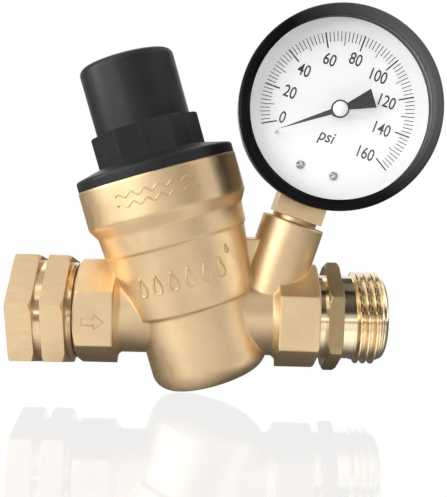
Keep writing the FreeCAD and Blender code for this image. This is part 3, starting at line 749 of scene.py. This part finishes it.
# Soft glows of the studio: azimuth and elevation in degrees, tightness, level.
GLOWS = [
    (-90, 0, 8, 1.08),
    (-135, 0, 8, 5.00),
    (-135, 45, 8, 0.40),
    (-45, 0, 8, 0.65),
    (0, 5, 8, 3.90),
    (0, 90, 6, 3.83),
    (90, 15, 4, 2.95),
    (-112, 20, 20, 1.09),
    (-158, 20, 20, 3.30),
    (-20, 25, 20, 2.38),
]
# Brightness of the room against the sine of the elevation: dark cards between bright ones.
BANDS = [
    (0.0, 1.0), (0.07, 1.0), (0.11, 0.12), (0.48, 0.12),
    (0.56, 1.0), (0.84, 1.0), (0.93, 0.15), (1.0, 0.15),
]
# The white backdrop fills the directions behind the object.
BACKDROP = (0.72, 0.84)
# A narrow black card up on the right, which gives the turned neck its dark upper half.
BLACK_CARD = [("X", 0.08, 0.13), ("X", 0.36, 0.30), ("Z", 0.10, 0.18), ("Y", 0.88, 0.80)]
# Soft lamps: name, place, size and power. All of them look at the middle of the object.
PANELS = [
    ("key", (-0.34, -0.40, 0.14), (0.36, 0.5), 1.28),
    ("front_fill", (0.22, -0.6, 0.06), (0.35, 0.25), 0.15),
    ("right_rim", (0.55, -0.02, 0.12), (0.12, 0.5), 0.12),
    ("left_card", (-0.5, -0.1, 0.05), (0.15, 0.5), 2.30),
]


def make_floor():
    """White with a faint reflection to the camera. To the object: dark, with bright cards on it."""
    material = bpy.data.materials.new("floor_gloss")
    material.use_nodes = True
    tree = material.node_tree
    tree.nodes.clear()
    output = tree.nodes.new("ShaderNodeOutputMaterial")
    ray = tree.nodes.new("ShaderNodeLightPath")
    seen = tree.nodes.new("ShaderNodeMixShader")
    shine = tree.nodes.new("ShaderNodeMixShader")
    glow = tree.nodes.new("ShaderNodeEmission")
    glow.inputs["Strength"].default_value = 1.0
    gloss = tree.nodes.new("ShaderNodeBsdfGlossy")
    gloss.inputs["Color"].default_value = (1, 1, 1, 1)
    gloss.inputs["Roughness"].default_value = 0.05
    dark = tree.nodes.new("ShaderNodeBsdfDiffuse")
    dark.inputs["Color"].default_value = (0.10, 0.10, 0.10, 1)
    bounce = tree.nodes.new("ShaderNodeEmission")
    place = tree.nodes.new("ShaderNodeTexCoord")
    away = tree.nodes.new("ShaderNodeVectorMath")
    away.operation = "DISTANCE"
    away.inputs[1].default_value = (0.052, 0, FLOOR_Z)
    level = tree.nodes.new("ShaderNodeMapRange")
    level.interpolation_type = "SMOOTHSTEP"
    level.inputs["From Min"].default_value = 0.06
    level.inputs["From Max"].default_value = 0.22
    level.inputs["To Min"].default_value = FLOOR_NEAR
    level.inputs["To Max"].default_value = FLOOR_FAR
    tree.links.new(place.outputs["Object"], away.inputs[0])
    tree.links.new(away.outputs["Value"], level.inputs["Value"])
    # Each bright card adds to what the floor sends back.
    strength = level.outputs["Result"]
    for middle, (inner, outer), brightness in FLOOR_PATCHES:
        patch_away = tree.nodes.new("ShaderNodeVectorMath")
        patch_away.operation = "DISTANCE"
        patch_away.inputs[1].default_value = (*middle, FLOOR_Z)
        patch = tree.nodes.new("ShaderNodeMapRange")
        patch.interpolation_type = "SMOOTHSTEP"
        patch.inputs["From Min"].default_value = inner
        patch.inputs["From Max"].default_value = outer
        patch.inputs["To Min"].default_value = brightness
        patch.inputs["To Max"].default_value = 0.0
        tree.links.new(place.outputs["Object"], patch_away.inputs[0])
        tree.links.new(patch_away.outputs["Value"], patch.inputs["Value"])
        both = tree.nodes.new("ShaderNodeMath")
        tree.links.new(patch.outputs["Result"], both.inputs[0])
        tree.links.new(strength, both.inputs[1])
        strength = both.outputs["Value"]
    tree.links.new(strength, bounce.inputs["Strength"])
    lit = tree.nodes.new("ShaderNodeAddShader")
    tree.links.new(dark.outputs["BSDF"], lit.inputs[0])
    tree.links.new(bounce.outputs["Emission"], lit.inputs[1])
    shine.inputs["Fac"].default_value = 0.16
    tree.links.new(glow.outputs["Emission"], shine.inputs[1])
    tree.links.new(gloss.outputs["BSDF"], shine.inputs[2])
    tree.links.new(ray.outputs["Is Camera Ray"], seen.inputs["Fac"])
    tree.links.new(lit.outputs["Shader"], seen.inputs[1])
    tree.links.new(shine.outputs["Shader"], seen.inputs[2])
    tree.links.new(seen.outputs["Shader"], output.inputs["Surface"])
    mesh = bpy.data.meshes.new("floor")
    corners = [(x * FLOOR_SIZE, y * FLOOR_SIZE, FLOOR_Z) for x, y in ((-1, -1), (1, -1), (1, 1), (-1, 1))]
    mesh.from_pydata(corners, [], [(0, 1, 2, 3)])
    mesh.materials.append(material)
    floor = bpy.data.objects.new("floor", mesh)
    bpy.context.scene.collection.objects.link(floor)
    floor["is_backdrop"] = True


def make_light(name, place, size, power):
    data = bpy.data.lights.new(name, "AREA")
    data.shape = "RECTANGLE"
    data.size, data.size_y = size
    data.energy = power
    light = bpy.data.objects.new(name, data)
    light.location = place
    aim = MIDDLE - Vector(place)
    light.rotation_euler = aim.to_track_quat("-Z", "Y").to_euler()
    bpy.context.scene.collection.objects.link(light)


def make_world():
    """A white room to the camera. To the object: glows, dark bands, a backdrop and a black card."""
    world = bpy.data.worlds.new("studio")
    bpy.context.scene.world = world
    world.use_nodes = True
    tree = world.node_tree
    tree.nodes.clear()
    output = tree.nodes.new("ShaderNodeOutputWorld")
    ray = tree.nodes.new("ShaderNodeLightPath")
    mix = tree.nodes.new("ShaderNodeMixShader")
    white = tree.nodes.new("ShaderNodeBackground")
    white.inputs["Color"].default_value = (1, 1, 1, 1)
    white.inputs["Strength"].default_value = 1.0
    room = tree.nodes.new("ShaderNodeBackground")
    room.inputs["Color"].default_value = (1, 1, 1, 1)
    place = tree.nodes.new("ShaderNodeTexCoord")
    split = tree.nodes.new("ShaderNodeSeparateXYZ")
    tree.links.new(place.outputs["Generated"], split.inputs["Vector"])

    def maths(operation, first, second):
        node = tree.nodes.new("ShaderNodeMath")
        node.operation = operation
        for socket, value in zip(node.inputs, (first, second)):
            if isinstance(value, float):
                socket.default_value = value
            else:
                tree.links.new(value, socket)
        return node.outputs["Value"]

    def soft_step(axis, start, full):
        """0 before start and 1 past full, along one axis of the direction looked in."""
        node = tree.nodes.new("ShaderNodeMapRange")
        node.interpolation_type = "SMOOTHSTEP"
        node.inputs["From Min"].default_value = start
        node.inputs["From Max"].default_value = full
        tree.links.new(split.outputs[axis], node.inputs["Value"])
        return node.outputs["Result"]

    total = 0.0
    for azimuth, elevation, tightness, level in GLOWS:
        turn, rise = math.radians(azimuth), math.radians(elevation)
        level_part = math.cos(rise)
        facing = tree.nodes.new("ShaderNodeVectorMath")
        facing.operation = "DOT_PRODUCT"
        facing.inputs[1].default_value = (
            level_part * math.cos(turn), level_part * math.sin(turn), math.sin(rise),
        )
        tree.links.new(place.outputs["Generated"], facing.inputs[0])
        lobe = maths("POWER", maths("MAXIMUM", facing.outputs["Value"], 0.0), float(tightness))
        total = maths("ADD", total, maths("MULTIPLY", lobe, level))
    bands = tree.nodes.new("ShaderNodeValToRGB")
    elements = bands.color_ramp.elements
    for index, (position, level) in enumerate(BANDS):
        element = elements[index] if index < 2 else elements.new(position)
        element.position = position
        element.color = (level, level, level, 1)
    tree.links.new(split.outputs["Z"], bands.inputs["Fac"])
    tree.links.new(total, room.inputs["Strength"])
    tree.links.new(bands.outputs["Color"], room.inputs["Color"])
    behind = tree.nodes.new("ShaderNodeMixShader")
    tree.links.new(soft_step("Y", *BACKDROP), behind.inputs["Fac"])
    tree.links.new(room.outputs["Background"], behind.inputs[1])
    tree.links.new(white.outputs["Background"], behind.inputs[2])
    card = 1.0
    for axis, start, full in BLACK_CARD:
        card = maths("MULTIPLY", card, soft_step(axis, start, full))
    black = tree.nodes.new("ShaderNodeBackground")
    black.inputs["Color"].default_value = (0.02, 0.02, 0.02, 1)
    shaded = tree.nodes.new("ShaderNodeMixShader")
    tree.links.new(card, shaded.inputs["Fac"])
    tree.links.new(behind.outputs["Shader"], shaded.inputs[1])
    tree.links.new(black.outputs["Background"], shaded.inputs[2])
    tree.links.new(ray.outputs["Is Camera Ray"], mix.inputs["Fac"])
    tree.links.new(shaded.outputs["Shader"], mix.inputs[1])
    tree.links.new(white.outputs["Background"], mix.inputs[2])
    tree.links.new(mix.outputs["Shader"], output.inputs["Surface"])


CAMERA_PLACE = (0.056066, -0.2154, 0.038528)
SENSOR = 36
# Focal length as a share of the sensor's height.
FOCAL_LENGTHS = 738.25 / 497


def make_camera():
    """The viewing angle: a little above the pipe, level with the top of the bell."""
    yaw, pitch, roll = (math.radians(angle) for angle in (0.89, -5.08, 1.62))
    forward = Vector((math.sin(yaw) * math.cos(pitch), math.cos(yaw) * math.cos(pitch), math.sin(pitch)))
    right = Vector((math.cos(yaw), -math.sin(yaw), 0))
    up = right.cross(forward)
    tilted_right = math.cos(roll) * right + math.sin(roll) * up
    tilted_up = -math.sin(roll) * right + math.cos(roll) * up
    data = bpy.data.cameras.new("camera")
    data.sensor_fit = "VERTICAL"
    data.sensor_height = SENSOR
    data.sensor_width = SENSOR
    data.lens = FOCAL_LENGTHS * SENSOR
    data.clip_start = 0.01
    camera = bpy.data.objects.new("camera", data)
    rotation = Matrix((tilted_right, tilted_up, -forward)).transposed().to_4x4()
    camera.matrix_world = Matrix.Translation(CAMERA_PLACE) @ rotation
    bpy.context.scene.collection.objects.link(camera)
    bpy.context.scene.camera = camera


make_floor()
make_world()
for panel, place, size, power in PANELS:
    make_light(panel, place, size, power)
make_camera()
bpy.context.scene.view_settings.view_transform = "Standard"

boxes = {"cad": cad_box, "visual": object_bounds()}
{name: [list(corner) for corner in box] for name, box in boxes.items()}
